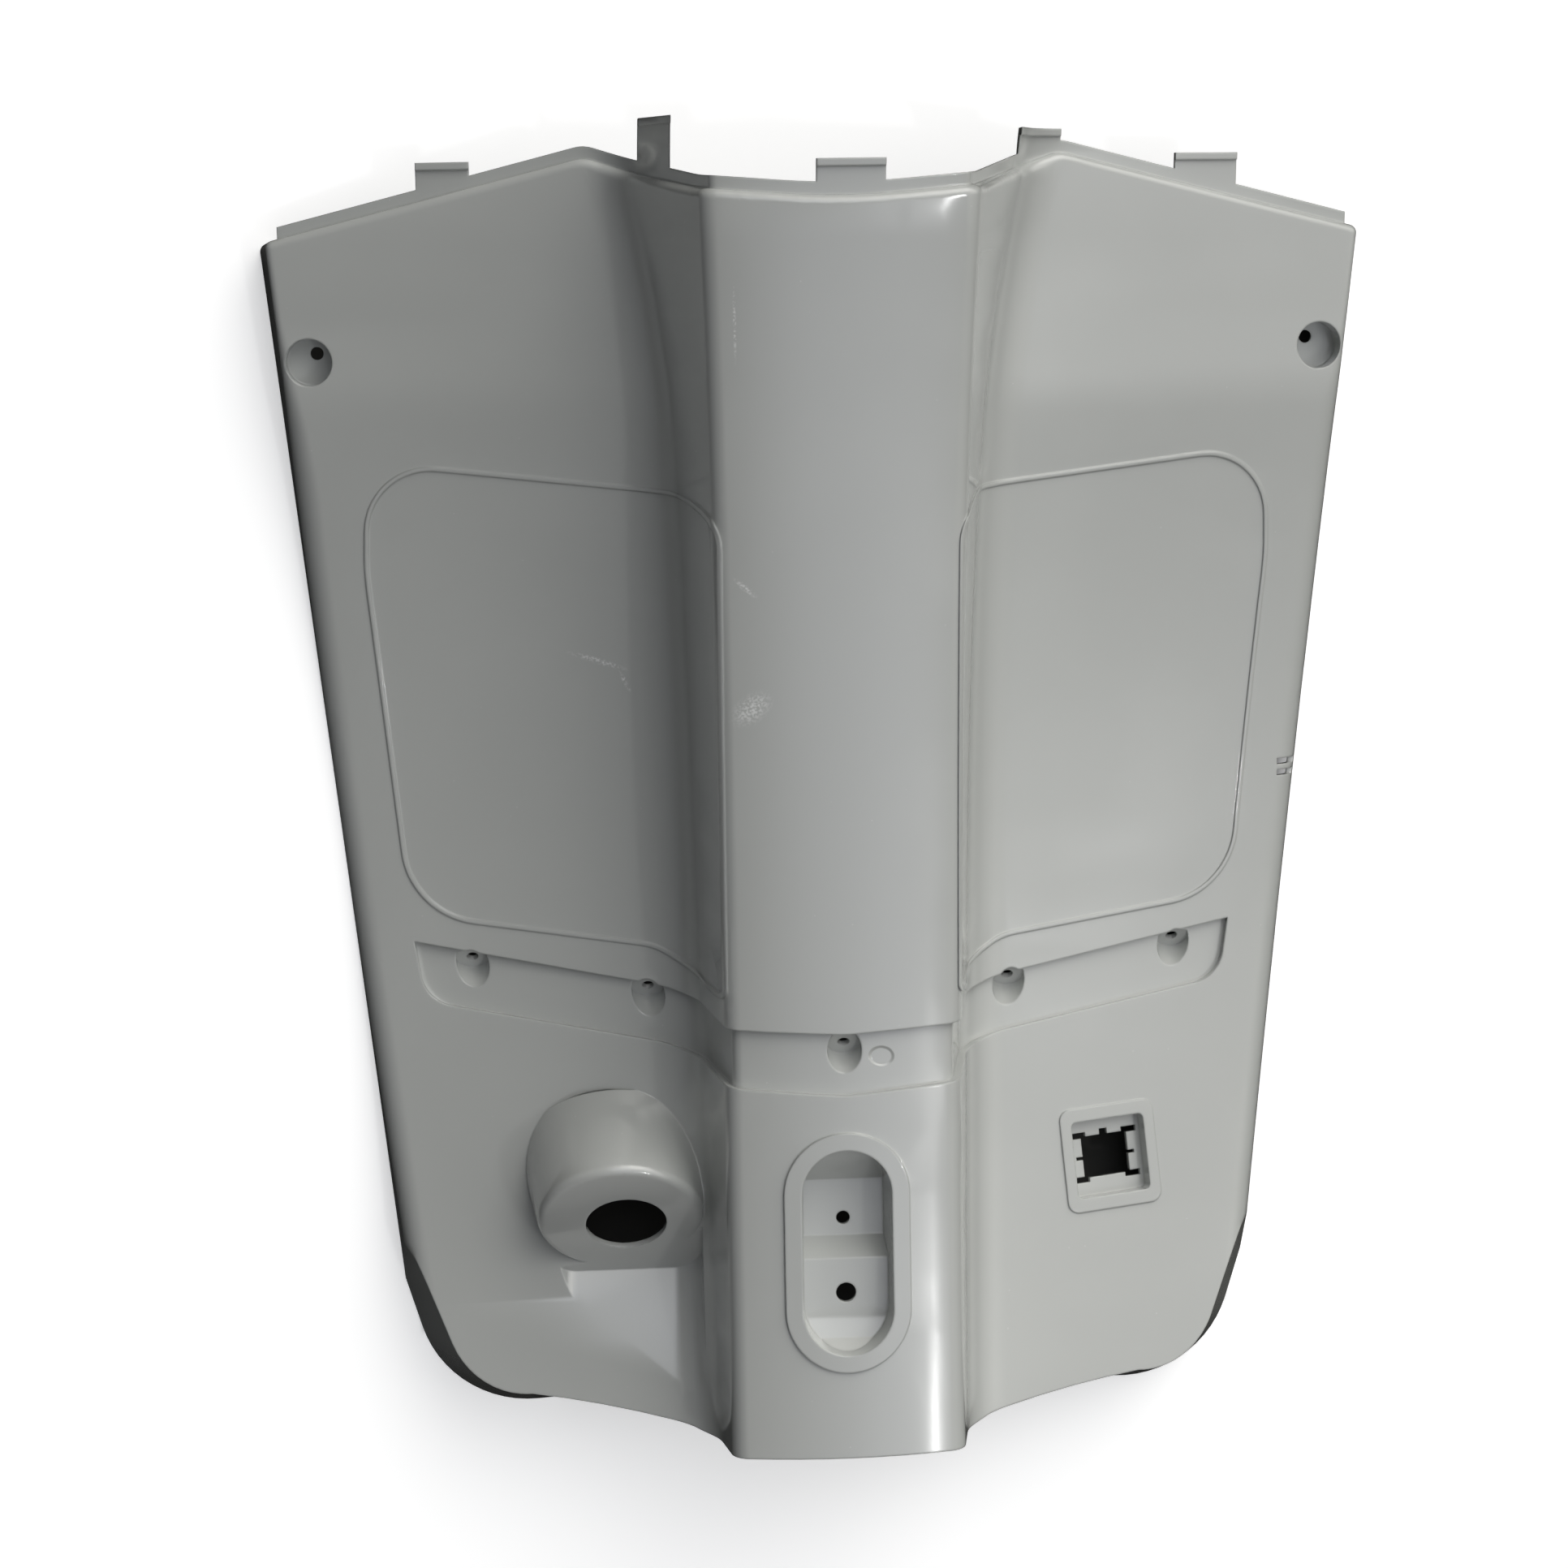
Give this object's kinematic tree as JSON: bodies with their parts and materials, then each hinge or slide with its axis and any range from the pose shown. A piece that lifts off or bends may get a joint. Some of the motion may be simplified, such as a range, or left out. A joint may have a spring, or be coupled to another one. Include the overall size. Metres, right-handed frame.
{
  "type": "scooter leg shield",
  "caption": "Light grey glossy scooter inner leg shield with a raised column, lock boss, hook recess and socket cut-out.",
  "frame": {"origin": "centre of the bounding box's bottom face, on the surface the panel lies on", "axes": "+Z out of the face the rider sees, +Y along the column towards the floorboard end with the tabs, +X to the right as seen from above"},
  "size_m": [0.474, 0.5636, 0.1447],
  "materials": {
    "panel": "gloss"
  },
  "bodies": {
    "root": {"leg_shield": "panel"}
  },
  "joints": []
}
